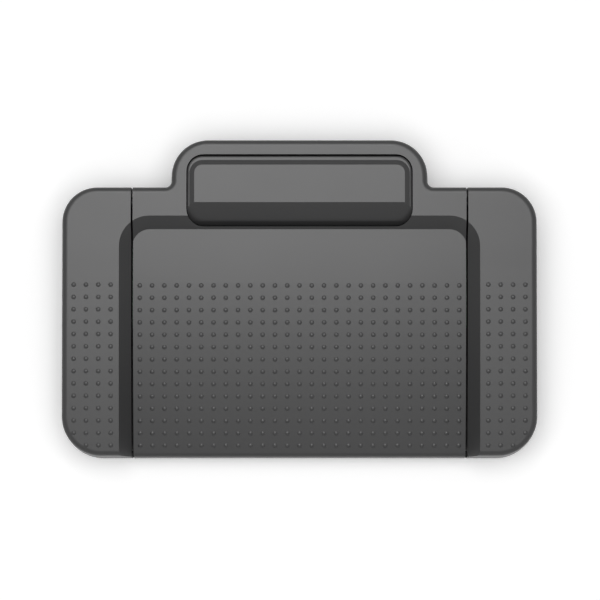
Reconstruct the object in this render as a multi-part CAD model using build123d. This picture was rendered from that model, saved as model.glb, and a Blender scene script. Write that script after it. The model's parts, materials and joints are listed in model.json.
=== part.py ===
"""A foot pedal switch for a desk: three wide pedals side by side and a small fourth one at the back.

All lengths are millimetres. +X is right, +Y is the rear, +Z is up. The feet stand on z = 0 and the
origin is under the middle of the body. The pedals are hollow shells that hang over a low tray and
rock on steel rods near the rear. Springs lift them, hooks and rubber pads end their travel, and a
magnet in each one works a sensor on the circuit board.
"""

import os
from math import atan2, cos, degrees, radians, sin, sqrt, tan

from build123d import *

# Plan of the upper rim; the walls spread outwards on their way down
rim_half_width = 104.75
front_reach = 69.3
hump_rear_reach = 69.8
hump_depth = 20.95
hump_rim_width = 6.45
hump_rear_rim_width = 6.3
front_corner_radius = 17.1
rear_corner_radius = 15.3
hump_corner_radius = 16.0
notch_radius = 3.0
wall_draft_deg = 2.5
rim_round = 2.5

# Heights: the rim above the floor, and how far other surfaces lie below the rim
rim_height = 33.0
side_front_drop = 5.2
bowl_depth = 5.8
face_front_drop = 10.4

# Skirts of the pedals
skirt_desk_gap = 2.7
skirt_rear_height = 14.0

# The sunken face of the centre pedal and the slope round it
bowl_seam_overhang = 5.56
slope_width = 5.6
bowl_rear_inset = 12.55
bowl_corner_radius = 13.4
bowl_sections = 6

# Pedal shells
side_pedal_width = 30.61
shell_wall = 2.2
seam_gap = 0.85
press_angle_deg = 2.2
rib_thickness = 1.4
rib_depth = 3.0
rib_middle_place = 15.0
rib_seam_offset = 18.14
rib_front_inset = 12.3
rib_rear_inset = 10.3

# Raised grip dots
dot_pitch = 5.44
dot_radius = 1.05
dot_height = 0.38
dot_front_inset = 4.3
dot_rear_inset = 30.3
dot_side_inset = 2.5
side_dot_columns = 4
side_dot_inset = 5.13

# Pocket in the centre pedal, and the rear cap that sits in it
pocket_rod_gap = 3.34
pocket_front_inset = 17.0
pocket_corner_radius = 7.5
pocket_lip_depth = 11.0
cap_gap = 0.6
cap_side_gap = 0.22
cap_wall = 2.0
cap_skirt_depth = 11.5
cap_ring_width = 1.1
cap_ring_rear_width = 2.0
cap_ring_proud = 0.25
cap_ring_round = 1.1
cap_face_rise = 1.55
cap_bevel_width = 2.2
cap_slope_width = 7.9
cap_slope_angle_deg = 43.0
cap_toe_width = 1.75
cap_toe_angle_deg = 56.0
cap_press_angle_deg = 5.0

# Hinge rods, their ears on the pedals and their posts on the tray
hinge_rear_inset = 6.35
hinge_depth = 10.5
hinge_rod_radius = 2.0
rod_overhang = 1.1
running_clearance = 0.05
seat_clearance = 0.02
ear_wall = 2.2
ear_thickness = 3.0
ear_seam_offset = 6.0
ear_post_gap = 1.1
snap_mouth_share = 0.84
post_thickness = 7.0
wall_notch_clearance = 0.8
seam_wall_clearance = 0.6
cap_hinge_inset = 7.3
cap_hinge_depth = 6.0
cap_rod_radius = 1.5
cap_rod_end_gap = 8.5
cap_rod_overhang = 2.5
cap_ear_post_gap = 1.5

# Tray
tray_gap = 1.4
tray_wall = 2.0
tray_front_height = 10.2
tray_rear_height = 17.5
floor_height = 2.0
floor_thickness = 2.5
tray_edge = 0.8
seam_shield_inset = 0.6
seam_shield_half_width = 3.0
seam_shield_thickness = 1.4
seam_shield_depth = 9.0
seam_shield_clearance = 0.3
label_half_width = 30.0
label_half_depth = 14.0
label_recess = 0.4

# Rubber feet
foot_recess = 0.5
foot_length = 26.0
foot_width = 11.0
foot_round = 4.0
foot_side_inset = 22.75
foot_front_inset = 17.3
foot_rear_inset = 16.85
foot_hump_inset = 14.8

# Clamps that hold the hinge rods down on their posts
clamp_front_depth = 7.5
clamp_rear_depth = 3.0
clamp_height = 4.0
clamp_screw_offset = 4.9
clamp_screw_length = 9.0

# Screws
screw_radius = 1.15
screw_hole_clearance = 0.2
screw_head_radius = 2.2
screw_head_height = 1.4
screw_socket_radius = 0.9
screw_socket_depth = 0.8
board_screw_length = 6.0

# Circuit board and what it carries
board_height = 8.2
board_thickness = 1.6
board_side_inset = 8.75
board_lever_share = 0.4875
board_depth = 36.0
board_stem_half_width = 15.0
board_stem_inset = 10.8
board_corner_radius = 2.0
board_post_radius = 3.2
board_outer_screw_inset = 26.0
board_outer_screw_depth = 16.0
board_inner_screw_x = 30.0
board_inner_screw_depth = 30.0
sensor_width = 3.0
sensor_depth = 3.0
sensor_height = 1.3
sensor_front_inset = 20.0
cap_sensor_depth = 6.15
chip_width = 7.0
chip_height = 1.2
chip_x = 18.0
crystal_length = 8.0
crystal_width = 3.6
crystal_height = 3.4
crystal_gap = 3.0
header_width = 12.0
header_depth = 5.6
header_height = 5.8
header_wall = 0.9
header_pins = 5
header_pin_pitch = 2.0
header_pin_width = 0.6
header_inset = 1.0
capacitor_radius = 2.5
capacitor_height = 6.0
capacitor_side_inset = 4.0
capacitor_rear_gap = 6.0

# Magnets, each in a post under its pedal
magnet_radius = 3.0
magnet_height = 3.0
magnet_post_wall = 1.4
magnet_clearance = 3.2
magnet_glue_gap = 0.1

# Return springs; the shares are of the way from the hinge to the front
spring_radius = 4.0
spring_wire_radius = 0.45
spring_pitch = 2.2
spring_pin_radius = 3.0
spring_pin_height = 2.4
spring_seat_radius = 5.0
pedal_spring_seat_height = 9.0
side_spring_lever_share = 0.6127
centre_spring_x = 44.0
centre_spring_lever_share = 0.5948
cap_spring_seat_height = 15.0
cap_spring_ear_gap = 15.5
cap_spring_depth = 8.0

# Rubber pads that end the travel, and the bosses that land on them
pad_radius = 4.0
pad_height = 2.6
pad_landing_gap = 0.1
pad_seat_height = 6.0
side_pad_lever_share = 0.863
centre_pad_seam_offset = 8.14
centre_pad_lever_share = 0.8275
cap_pad_seat_height = 14.5
cap_pad_side_inset = 8.5
cap_pad_depth = 8.65

# Hooks under the pedals and the gates on the tray that stop them on their way up
hook_width = 5.0
hook_wall = 1.8
hook_gap = 0.3
hook_reach = 3.0
hook_bar = 1.6
hook_side_clearance = 1.0
side_hook_lever_share = 0.738
side_hook_bar_z = 16.5
centre_hook_x = 30.0
centre_hook_lever_share = 0.6845
centre_hook_bar_z = 13.0
cap_hook_ear_gap = 8.0
cap_hook_depth = 8.35
cap_hook_bar_z = 19.5

# Steel plate that keeps the pedal from sliding about
ballast_pad_gap = 2.0
ballast_front_inset = 8.3
ballast_hook_gap = 2.2
ballast_thickness = 3.0
ballast_corner_radius = 3.0
ballast_screw_inset = 10.0

# Rubber gland for the cable
gland_height = 9.2
gland_bore_radius = 2.15
gland_radius = 4.0
gland_neck_radius = 3.3
gland_inner_length = 4.0
gland_outer_length = 2.8
gland_edge = 0.6
gland_seat_half_width = 7.0
gland_seat_height = 15.0
gland_seat_thickness = 3.2

# One overrun serves every cut
overrun = 5.0

# Places from the rear towards the front
body_rear_reach = hump_rear_reach - hump_depth
bowl_rear_reach = body_rear_reach - bowl_rear_inset
bowl_centre_y = bowl_rear_reach - bowl_corner_radius
pocket_rear_reach = hump_rear_reach - hump_rear_rim_width
pocket_front_reach = body_rear_reach - pocket_front_inset
hinge_y = body_rear_reach - hinge_rear_inset
hinge_lever = hinge_y + front_reach
arc_run = bowl_centre_y + front_reach
cap_hinge_y = pocket_rear_reach - cap_hinge_inset
cap_spring_y = cap_hinge_y - cap_spring_depth
cap_hook_y = pocket_front_reach + cap_hook_depth
cap_pad_y = pocket_front_reach + cap_pad_depth
cap_sensor_y = pocket_front_reach + cap_sensor_depth
side_spring_y = hinge_y - side_spring_lever_share * hinge_lever
centre_spring_y = hinge_y - centre_spring_lever_share * hinge_lever
side_pad_y = hinge_y - side_pad_lever_share * hinge_lever
centre_pad_y = hinge_y - centre_pad_lever_share * hinge_lever
side_hook_y = hinge_y - side_hook_lever_share * hinge_lever
centre_hook_y = hinge_y - centre_hook_lever_share * hinge_lever
board_front_y = hinge_y - board_lever_share * hinge_lever
board_rear_y = board_front_y + board_depth
board_stem_rear_y = hump_rear_reach - board_stem_inset
sensor_y = board_front_y + sensor_front_inset
capacitor_y = board_rear_y + capacitor_rear_gap
ballast_front_y = ballast_front_inset - front_reach
ballast_rear_y = centre_hook_y - hook_reach - hook_gap - ballast_hook_gap

# Places from the side towards the middle
seam_centre = rim_half_width - side_pedal_width
seam_side = seam_centre + seam_gap / 2
seam_inner = seam_centre - seam_gap / 2
side_middle = (seam_side + rim_half_width) / 2
bowl_half_width = seam_centre + bowl_seam_overhang
bowl_floor_half_width = bowl_half_width - slope_width
ear_post_offset = (ear_thickness + post_thickness) / 2 + ear_post_gap
centre_ear_place = seam_centre - ear_seam_offset
side_ear_place = seam_centre + ear_seam_offset
post_places = (centre_ear_place - ear_post_offset, side_ear_place + ear_post_offset)
centre_ear_places = (centre_ear_place, post_places[0] - ear_post_offset)
side_ear_places = (side_ear_place, post_places[1] + ear_post_offset)
hinge_rod_inner_end = centre_ear_places[1] - ear_thickness / 2 - rod_overhang
hinge_rod_outer_end = side_ear_places[1] + ear_thickness / 2 + rod_overhang
pocket_half_width = hinge_rod_inner_end - pocket_rod_gap
hump_half_width = pocket_half_width + hump_rim_width
cap_rod_half_length = pocket_half_width - cap_rod_end_gap
cap_ear_place = cap_rod_half_length - cap_rod_overhang - ear_thickness / 2
cap_post_place = cap_ear_place - (ear_thickness + post_thickness) / 2 - cap_ear_post_gap
cap_spring_x = cap_ear_place - cap_spring_ear_gap
cap_hook_x = cap_ear_place - cap_hook_ear_gap
cap_pad_x = pocket_half_width - cap_pad_side_inset
centre_pad_x = seam_centre - centre_pad_seam_offset
rib_places = (rib_middle_place, seam_centre - rib_seam_offset)
board_half_width = rim_half_width - board_side_inset
board_outer_screw_x = board_half_width - board_outer_screw_inset
capacitor_x = board_stem_half_width - capacitor_side_inset
ballast_half_width = centre_pad_x - pad_radius - ballast_pad_gap
ballast_screw_x = ballast_half_width - ballast_screw_inset

# Heights above the floor
face_height = rim_height - bowl_depth
hinge_z = rim_height - hinge_depth
cap_hinge_z = rim_height - cap_hinge_depth
pocket_lip_foot = rim_height - pocket_lip_depth
cap_foot_height = rim_height - cap_skirt_depth
cap_ring_top = rim_height + cap_ring_proud
cap_face_top = cap_ring_top + cap_face_rise
floor_top = floor_height + floor_thickness
board_top = board_height + board_thickness
sensor_top = board_top + sensor_height

tray_inset = shell_wall + tray_gap
sides = {"left": -1, "right": 1}


def arc_radius(run, drop):
    """Radius of an arc that starts level and drops by drop over run."""
    return (run * run + drop * drop) / (2 * drop)


side_arc_radius = arc_radius(arc_run, side_front_drop)
face_arc_radius = arc_radius(arc_run, face_front_drop)


def arc_drop(radius, y):
    """How far an arc has dropped at y; it starts level at the centre of the bowl's rear corners."""
    run = max(bowl_centre_y - y, 0)
    return radius - sqrt(radius * radius - run * run)


def side_top(y):
    """Height of the side pedals' upper surface."""
    return rim_height - arc_drop(side_arc_radius, y)


def face_top(y):
    """Height of the centre pedal's sunken face."""
    return face_height - arc_drop(face_arc_radius, y)


def between(y, front_value, rear_value):
    """A height on the straight line from the front of the body to its rear."""
    share = (y + front_reach) / (front_reach + hump_rear_reach)
    return front_value + share * (rear_value - front_value)


def skirt_foot(y):
    """Height of the pedal skirts' lower edge, which stays clear of the desk when pressed."""
    return between(y, pedal_drop(-front_reach) + skirt_desk_gap, skirt_rear_height)


def tray_top(y):
    """Height of the tray's wall."""
    return between(y, tray_front_height, tray_rear_height)


def seam_foot(y):
    """Height of the lower edge of the walls at the seams."""
    return tray_top(y) + pedal_drop(y) + seam_wall_clearance


def slope_angle(y):
    """Angle of the bowl's slope from level, in radians."""
    return atan2(side_top(y) - face_top(y), slope_width)


def pedal_drop(y):
    """How far a point of a pedal sinks at the end of its travel."""
    return (hinge_y - y) * sin(radians(press_angle_deg))


def cap_drop(y):
    """How far a point of the rear cap sinks at the end of its travel."""
    return (cap_hinge_y - y) * sin(radians(cap_press_angle_deg))


def block(x_low, x_high, y_low, y_high, z_low, z_high):
    """A box between two corners."""
    size = (x_high - x_low, y_high - y_low, z_high - z_low)
    middle = ((x_low + x_high) / 2, (y_low + y_high) / 2, (z_low + z_high) / 2)
    return Pos(*middle) * Box(*size)


def pillar(x, y, radius, z_low, z_high):
    """An upright cylinder."""
    return Pos(x, y, (z_low + z_high) / 2) * Cylinder(radius, z_high - z_low)


def along_x(y, z, radius, x_low, x_high):
    """A cylinder along X."""
    return Pos((x_low + x_high) / 2, y, z) * Rot(0, 90, 0) * Cylinder(radius, x_high - x_low)


def plate(x_half, y_low, y_high, radius, z_low, z_high):
    """A flat plate with rounded corners, centred on the plane x = 0."""
    shape = RectangleRounded(2 * x_half, y_high - y_low, radius)
    return Pos(0, (y_low + y_high) / 2, z_low) * extrude(shape, amount=z_high - z_low)


def side_profile(lines, half_width):
    """A closed profile drawn in Y and Z, carried along X on both sides of the middle."""
    face = make_face(Plane.YZ * lines)
    return extrude(face, amount=half_width, both=True)


def below_arc(level, radius):
    """All that lies under a surface that is level at the rear and drops along an arc to the front."""
    rear = hump_rear_reach + overrun
    front = -front_reach - overrun
    front_level = level - arc_drop(radius, front)
    lines = Curve() + [
        Line((rear, -overrun), (rear, level)),
        Line((rear, level), (bowl_centre_y, level)),
        TangentArc((bowl_centre_y, level), (front, front_level), tangent=(-1, 0)),
        Line((front, front_level), (front, -overrun)),
        Line((front, -overrun), (rear, -overrun)),
    ]
    return side_profile(lines, rim_half_width + overrun)


def below_plane(height_at):
    """All that lies under a plane that slopes from the front to the rear."""
    rear = hump_rear_reach + overrun
    front = -front_reach - overrun
    lines = Polyline(
        (front, -2 * overrun), (rear, -2 * overrun), (rear, height_at(rear)), (front, height_at(front)),
        close=True,
    )
    return side_profile(lines, rim_half_width + overrun)


def rim_outline(inset):
    """The body's plan at rim height, drawn in by inset."""
    x_side = rim_half_width - inset
    x_hump = hump_half_width - inset
    y_front = inset - front_reach
    y_body = body_rear_reach - inset
    y_hump = hump_rear_reach - inset
    corners = [
        (-x_side, y_front), (x_side, y_front), (x_side, y_body), (x_hump, y_body),
        (x_hump, y_hump), (-x_hump, y_hump), (-x_hump, y_body), (-x_side, y_body),
    ]
    front = front_corner_radius - inset
    rear = rear_corner_radius - inset
    hump = hump_corner_radius - inset
    notch = notch_radius + inset
    radii = [front, front, rear, notch, hump, hump, notch, rear]
    return make_face(FilletPolyline(*corners, radius=radii, close=True))


def walls(inset):
    """The body's block inside its drafted walls, from the floor to the rim."""
    top = Pos(0, 0, rim_height) * rim_outline(inset)
    return extrude(top, amount=rim_height + overrun, dir=(0, 0, -1), taper=-wall_draft_deg)


def bowl(inset):
    """What the sunken face and its slope take out of the body, grown by inset: rear and front part."""
    top = rim_height + overrun
    angle = slope_angle(bowl_centre_y)
    grow = inset * tan(angle / 2)
    floor = face_height - inset
    half = bowl_floor_half_width + grow
    rear = bowl_rear_reach - slope_width + grow
    corner = bowl_corner_radius - slope_width + grow
    depth = 2 * corner + overrun
    shape = Pos(0, rear - depth / 2, floor) * RectangleRounded(2 * half, depth, corner)
    rear_part = extrude(shape, amount=top - floor, taper=degrees(angle) - 90)
    rear_part &= block(-2 * half, 2 * half, bowl_centre_y, 2 * rear, 0, 2 * top)
    sections = []
    for step in range(bowl_sections + 1):
        y = bowl_centre_y - step * (arc_run + overrun) / bowl_sections
        angle = slope_angle(y)
        start = (seam_side - bowl_floor_half_width) / 2
        low = face_top(y) - inset + start * tan(angle)
        low_half = bowl_floor_half_width + inset * tan(angle / 2) + start
        high_half = low_half + (top - low) / tan(angle)
        corners = [(-low_half, low), (low_half, low), (high_half, top), (-high_half, top)]
        sections.append(make_face(Polyline(*[(x, y, z) for x, z in corners], close=True)))
    strip = block(-seam_centre, seam_centre, -2 * front_reach, bowl_centre_y, 0, top)
    return rear_part, loft(sections), strip - below_arc(floor, face_arc_radius)


def body_block(inset):
    """The whole body as one block, drawn in by inset, with the bowl taken out."""
    solid = walls(inset) & below_arc(rim_height - inset, side_arc_radius)
    for cut in bowl(inset):
        solid -= cut
    return solid


def slice_x(solid, x_low, x_high):
    """The part of a solid between two upright planes."""
    deep = hump_rear_reach + front_reach
    return solid & block(x_low, x_high, -deep, deep, -2 * overrun, rim_height + 2 * overrun)


def touches_seam(face):
    """Whether a face is one of the upright walls at a seam between two pedals."""
    return abs(abs(face.center().X) - seam_centre) < seam_gap


def rim_edges(solid):
    """The edges where a pedal's upper surface meets the body's outer walls."""
    upper = []
    outer = []
    for face in solid.faces():
        rise = face.normal_at().Z
        if rise > cos(slope_angle(bowl_centre_y) / 2):
            upper += face.edges()
        elif abs(rise) < sin(radians(2 * wall_draft_deg)) and not touches_seam(face):
            outer += face.edges()
    return [edge for edge in upper if any(edge.is_same(other) for other in outer)]


def outer_shell(solid, x_low, x_high):
    """A pedal's outer form with its rounded rim and its slanted lower edge."""
    pedal = slice_x(solid, x_low, x_high)
    return fillet(rim_edges(pedal), rim_round) - below_plane(skirt_foot)


def seam_cut(x_low, x_high):
    """What a seam wall leaves free below it, so that it passes over the tray when it is pressed."""
    return slice_x(walls(shell_wall) & below_plane(seam_foot), x_low, x_high)


def dome(x, y, z, lean):
    """A low round dot that stands square on a surface that leans forward by an angle in radians."""
    ball = (dot_radius * dot_radius + dot_height * dot_height) / (2 * dot_height)
    sink = ball - dot_height
    return Pos(x, y + sin(lean) * sink, z - cos(lean) * sink) * Sphere(ball)


def dot_rows():
    """How many rows of dots fit between the front edge and the bare strip before the rear."""
    run = front_reach - dot_front_inset + bowl_rear_reach - dot_rear_inset
    return int(run / dot_pitch) + 1


def dot_row(columns, row, height_at, radius):
    """One row of dots across an arched surface."""
    y = row * dot_pitch + dot_front_inset - front_reach
    lean = (bowl_centre_y - y) / radius
    return [dome(x, y, height_at(y), lean) for x in columns]


def ear(x, y, z, bore, top):
    """An ear that hangs from a shell and snaps over a rod from above."""
    outer = bore + ear_wall
    low = x - ear_thickness / 2
    high = x + ear_thickness / 2
    mouth = snap_mouth_share * bore
    solid = along_x(y, z, outer, low, high) + block(low, high, y - outer, y + outer, z, top)
    solid -= along_x(y, z, bore, low - overrun, high + overrun)
    return solid - block(low - overrun, high + overrun, y - mouth, y + mouth, z - 2 * outer, z)


def rod_notch(x_low, x_high):
    """Room for a hinge rod in a wall that comes down over it."""
    radius = hinge_rod_radius + wall_notch_clearance
    round_part = along_x(hinge_y, hinge_z, radius, x_low, x_high)
    return round_part + block(x_low, x_high, hinge_y - radius, hinge_y + radius, 0, hinge_z)


def magnet_post(x, y, top):
    """A tube under a pedal that holds a magnet over its sensor."""
    low = sensor_top + magnet_clearance
    outer = pillar(x, y, magnet_radius + magnet_post_wall, low, top)
    return outer - pillar(x, y, magnet_radius, low - overrun, low + magnet_height)


def hook(x, y, bar_z, top):
    """A hook under a pedal, whose barb lies below a bar of the tray."""
    left = x - hook_width / 2
    right = x + hook_width / 2
    barb_top = bar_z - hook_gap
    stem = block(left, right, y, y + hook_wall, barb_top - hook_bar, top)
    return stem + block(left, right, y - hook_reach, y, barb_top - hook_bar, barb_top)


def hook_gate(x, y, bar_z):
    """The gate on the tray: two legs and the bar that the hook catches under."""
    inner = hook_width / 2 + hook_side_clearance
    outer = inner + hook_bar
    front = y - hook_reach - hook_gap
    rear = y - hook_gap
    gate = block(x - outer, x + outer, front, rear, floor_height, bar_z + hook_bar)
    return gate - block(x - inner, x + inner, front - overrun, rear + overrun, floor_top, bar_z)


def shell_ribs(cavity):
    """Stiffening ribs along the underside of the centre pedal."""
    lowered = below_arc(face_height - shell_wall - rib_depth, face_arc_radius)
    front = rib_front_inset - front_reach
    rear = bowl_rear_reach - rib_rear_inset
    ribs = []
    for place in rib_places:
        for x in (-place, place):
            low = x - rib_thickness / 2
            bar = block(low, low + rib_thickness, front, rear, 0, rim_height)
            ribs.append((bar & cavity) - lowered)
    return ribs


def pad_boss(x, y, seat_height, drop, top):
    """A boss under a pedal that lands on its rubber pad at the end of the travel."""
    low = seat_height + pad_height + drop + pad_landing_gap
    return pillar(x, y, pad_radius, low, top)


def spring_top(height_at, y):
    """Height of the flat boss under a pedal that a spring pushes against."""
    return height_at(y - spring_seat_radius) - shell_wall


def spring_boss(x, y, low, top):
    """A flat boss under a pedal with a pin that keeps a spring in place."""
    boss = pillar(x, y, spring_seat_radius, low, top)
    return boss + pillar(x, y, spring_pin_radius, low - spring_pin_height, top)


def side_pedal(side):
    """The left (-1) or right (1) pedal shell."""
    far = side * 2 * rim_half_width
    outer = outer_shell(whole, *sorted((side * seam_side, far)))
    cavity = slice_x(hollow, *sorted((side * (seam_side + shell_wall), far)))
    x = side * side_middle
    roof = rim_height
    fittings = [
        magnet_post(x, sensor_y, roof),
        hook(x, side_hook_y, side_hook_bar_z, roof),
        pad_boss(x, side_pad_y, pad_seat_height, pedal_drop(side_pad_y - pad_radius), roof),
        spring_boss(x, side_spring_y, spring_top(side_top, side_spring_y), roof),
    ]
    for place in side_ear_places:
        fittings.append(ear(side * place, hinge_y, hinge_z, hinge_rod_radius + running_clearance, roof))
    shell = outer - cavity + [fitting & cavity for fitting in fittings]
    seam_wall = sorted((side * seam_centre, side * (seam_side + shell_wall)))
    shell = shell - rod_notch(*seam_wall) - seam_cut(*seam_wall)
    outermost = rim_half_width - side_dot_inset
    columns = [side * (outermost - step * dot_pitch) for step in range(side_dot_columns)]
    grips = dot_row(columns[1:], 0, side_top, side_arc_radius)
    for row in range(1, dot_rows()):
        grips += dot_row(columns, row, side_top, side_arc_radius)
    return shell + grips


def pocket(grow, low, high):
    """The pocket's upright block in the centre pedal, grown outwards by grow."""
    return plate(
        pocket_half_width + grow, pocket_front_reach - grow, pocket_rear_reach + grow,
        pocket_corner_radius + grow, low, high,
    )


def centre_pedal():
    """The centre pedal shell, from its front edge back to the hump with the cap's pocket."""
    outer = outer_shell(whole, -seam_inner, seam_inner)
    cavity = slice_x(hollow, shell_wall - seam_inner, seam_inner - shell_wall)
    roof = rim_height
    fittings = [magnet_post(0, sensor_y, roof), pocket(shell_wall, pocket_lip_foot, roof)]
    fittings += shell_ribs(cavity)
    for side in sides.values():
        fittings.append(hook(side * centre_hook_x, centre_hook_y, centre_hook_bar_z, roof))
        drop = pedal_drop(centre_pad_y - pad_radius)
        fittings.append(pad_boss(side * centre_pad_x, centre_pad_y, pad_seat_height, drop, roof))
        low = spring_top(face_top, centre_spring_y)
        fittings.append(spring_boss(side * centre_spring_x, centre_spring_y, low, roof))
        for place in centre_ear_places:
            bore = hinge_rod_radius + running_clearance
            fittings.append(ear(side * place, hinge_y, hinge_z, bore, roof))
    shell = outer - cavity + [fitting & cavity for fitting in fittings]
    shell -= pocket(0, 0, rim_height + overrun)
    for side in sides.values():
        seam_wall = sorted((side * (seam_inner - shell_wall), side * seam_centre))
        shell = shell - rod_notch(*seam_wall) - seam_cut(*seam_wall)
    most = int((seam_inner - dot_side_inset) / dot_pitch)
    columns = [step * dot_pitch for step in range(-most, most + 1)]
    grips = []
    for row in range(dot_rows()):
        grips += dot_row(columns, row, face_top, face_arc_radius)
    return shell + grips


def cap_block(inset, foot):
    """The rear cap as one block, drawn in by inset: a rounded ring, a bevelled face and a front slope."""
    half = pocket_half_width - cap_side_gap - inset
    front = pocket_front_reach + cap_gap + inset
    rear = pocket_rear_reach - cap_gap - inset
    corner = pocket_corner_radius - cap_gap - inset
    ring_top = cap_ring_top - inset
    solid = plate(half, front, rear, corner, foot, ring_top)
    if inset == 0:
        solid = fillet(solid.faces().sort_by(Axis.Z)[-1].edges(), cap_ring_round)
    face_front = front + cap_ring_width
    face_rear = rear - cap_ring_rear_width
    shape = RectangleRounded(2 * (half - cap_ring_width), face_rear - face_front, corner - cap_ring_width)
    middle = Pos(0, (face_front + face_rear) / 2, ring_top)
    bevel_deg = degrees(atan2(cap_bevel_width, cap_face_rise))
    raised = extrude(middle * shape, amount=cap_face_rise, taper=bevel_deg)
    return (solid + raised) - cap_front_cut(inset)


def cap_front_cut(inset):
    """What the cap's front slope and its steeper toe take away, both moved inwards by inset."""
    slope = radians(cap_slope_angle_deg)
    toe = radians(cap_toe_angle_deg)
    knee_y = pocket_front_reach + cap_gap + cap_toe_width
    knee_z = cap_face_top - cap_slope_width * tan(slope)
    turn = (toe - slope) / 2
    reach = inset / cos(turn)
    knee_y += reach * sin(slope + turn)
    knee_z -= reach * cos(slope + turn)
    rise = cap_face_top + overrun - knee_z
    fall = knee_z + overrun
    corners = [
        (knee_y + rise / tan(slope), knee_z + rise), (knee_y, knee_z),
        (knee_y - fall / tan(toe), knee_z - fall), (-front_reach, knee_z - fall),
        (-front_reach, knee_z + rise),
    ]
    return side_profile(Polyline(*corners, close=True), pocket_half_width + overrun)


def rear_cap():
    """The rear cap: a hollow shell with two ears for its rod and posts for its magnet and springs."""
    cavity = cap_block(cap_wall, -overrun)
    roof = cap_face_top
    fittings = [magnet_post(0, cap_sensor_y, roof)]
    for side in sides.values():
        pin_top = cap_face_top - cap_wall
        x = side * cap_spring_x
        fittings.append(pillar(x, cap_spring_y, spring_pin_radius, pin_top - spring_pin_height, roof))
        drop = cap_drop(cap_pad_y - pad_radius)
        fittings.append(pad_boss(side * cap_pad_x, cap_pad_y, cap_pad_seat_height, drop, roof))
        fittings.append(hook(side * cap_hook_x, cap_hook_y, cap_hook_bar_z, roof))
        fittings.append(cap_ear(side * cap_ear_place, roof))
    return cap_block(0, cap_foot_height) - cavity + [fitting & cavity for fitting in fittings]


def cap_ear(x, top):
    """An ear with a closed bore for the cap's rod."""
    low = x - ear_thickness / 2
    high = x + ear_thickness / 2
    bore = cap_rod_radius + running_clearance
    outer = bore + ear_wall
    solid = along_x(cap_hinge_y, cap_hinge_z, outer, low, high)
    solid += block(low, high, cap_hinge_y - outer, cap_hinge_y + outer, cap_hinge_z, top)
    return solid - along_x(cap_hinge_y, cap_hinge_z, bore, low - overrun, high + overrun)


def rod_post(x):
    """A post of the tray with a half-round seat for a hinge rod and a hole for the clamp's screw."""
    low = x - post_thickness / 2
    high = x + post_thickness / 2
    post = block(low, high, hinge_y - clamp_front_depth, hinge_y + clamp_rear_depth, floor_height, hinge_z)
    post -= along_x(hinge_y, hinge_z, hinge_rod_radius + seat_clearance, low - overrun, high + overrun)
    depth = clamp_screw_length - clamp_height + screw_hole_clearance
    screw_y = hinge_y - clamp_screw_offset
    return post - pillar(x, screw_y, screw_radius + seat_clearance, hinge_z - depth, hinge_z)


def cap_post(x):
    """A post of the tray with a mouth at its top, into which the cap's rod snaps."""
    outer = cap_rod_radius + ear_wall
    low = x - post_thickness / 2
    high = x + post_thickness / 2
    mouth = snap_mouth_share * cap_rod_radius
    post = block(low, high, cap_hinge_y - outer, cap_hinge_y + outer, floor_height, cap_hinge_z)
    post += along_x(cap_hinge_y, cap_hinge_z, outer, low, high)
    bore = cap_rod_radius + seat_clearance
    post -= along_x(cap_hinge_y, cap_hinge_z, bore, low - overrun, high + overrun)
    top = cap_hinge_z + 2 * outer
    return post - block(low, high, cap_hinge_y - mouth, cap_hinge_y + mouth, cap_hinge_z, top)


def spring_seat(x, y, seat_height):
    """A pillar of the tray with a pin that keeps a spring in place."""
    seat = pillar(x, y, spring_seat_radius, floor_height, seat_height)
    return seat + pillar(x, y, spring_pin_radius, floor_height, seat_height + spring_pin_height)


def gland_seat_y():
    """Rear and front face of the upright seat that holds the cable gland."""
    rear = hump_rear_reach - shell_wall
    return rear, rear - gland_seat_thickness


foot_x = rim_half_width - foot_side_inset
foot_front_y = foot_front_inset - front_reach
foot_rear_y = body_rear_reach - foot_rear_inset
foot_places = {
    "front_left": (-foot_x, foot_front_y),
    "front_right": (foot_x, foot_front_y),
    "rear_left": (-foot_x, foot_rear_y),
    "rear_right": (foot_x, foot_rear_y),
    "hump": (0, hump_rear_reach - foot_hump_inset),
}


def foot_block(place, grow, top):
    """A rubber foot's block, or with grow the recess that it sits in."""
    shape = RectangleRounded(foot_length + 2 * grow, foot_width + 2 * grow, foot_round + grow)
    return Pos(place[0], place[1], 0) * extrude(shape, amount=top)


def seam_shield(side):
    """A low tab of the tray under the front end of a seam, just below where the pressed skirts come."""
    x = side * seam_centre
    top = skirt_foot(-front_reach) - pedal_drop(-front_reach) - seam_shield_clearance
    tab = block(
        x - seam_shield_half_width, x + seam_shield_half_width,
        -front_reach - overrun, seam_shield_depth - front_reach, top - seam_shield_thickness, top,
    )
    return tab & walls(seam_shield_inset)


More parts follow.
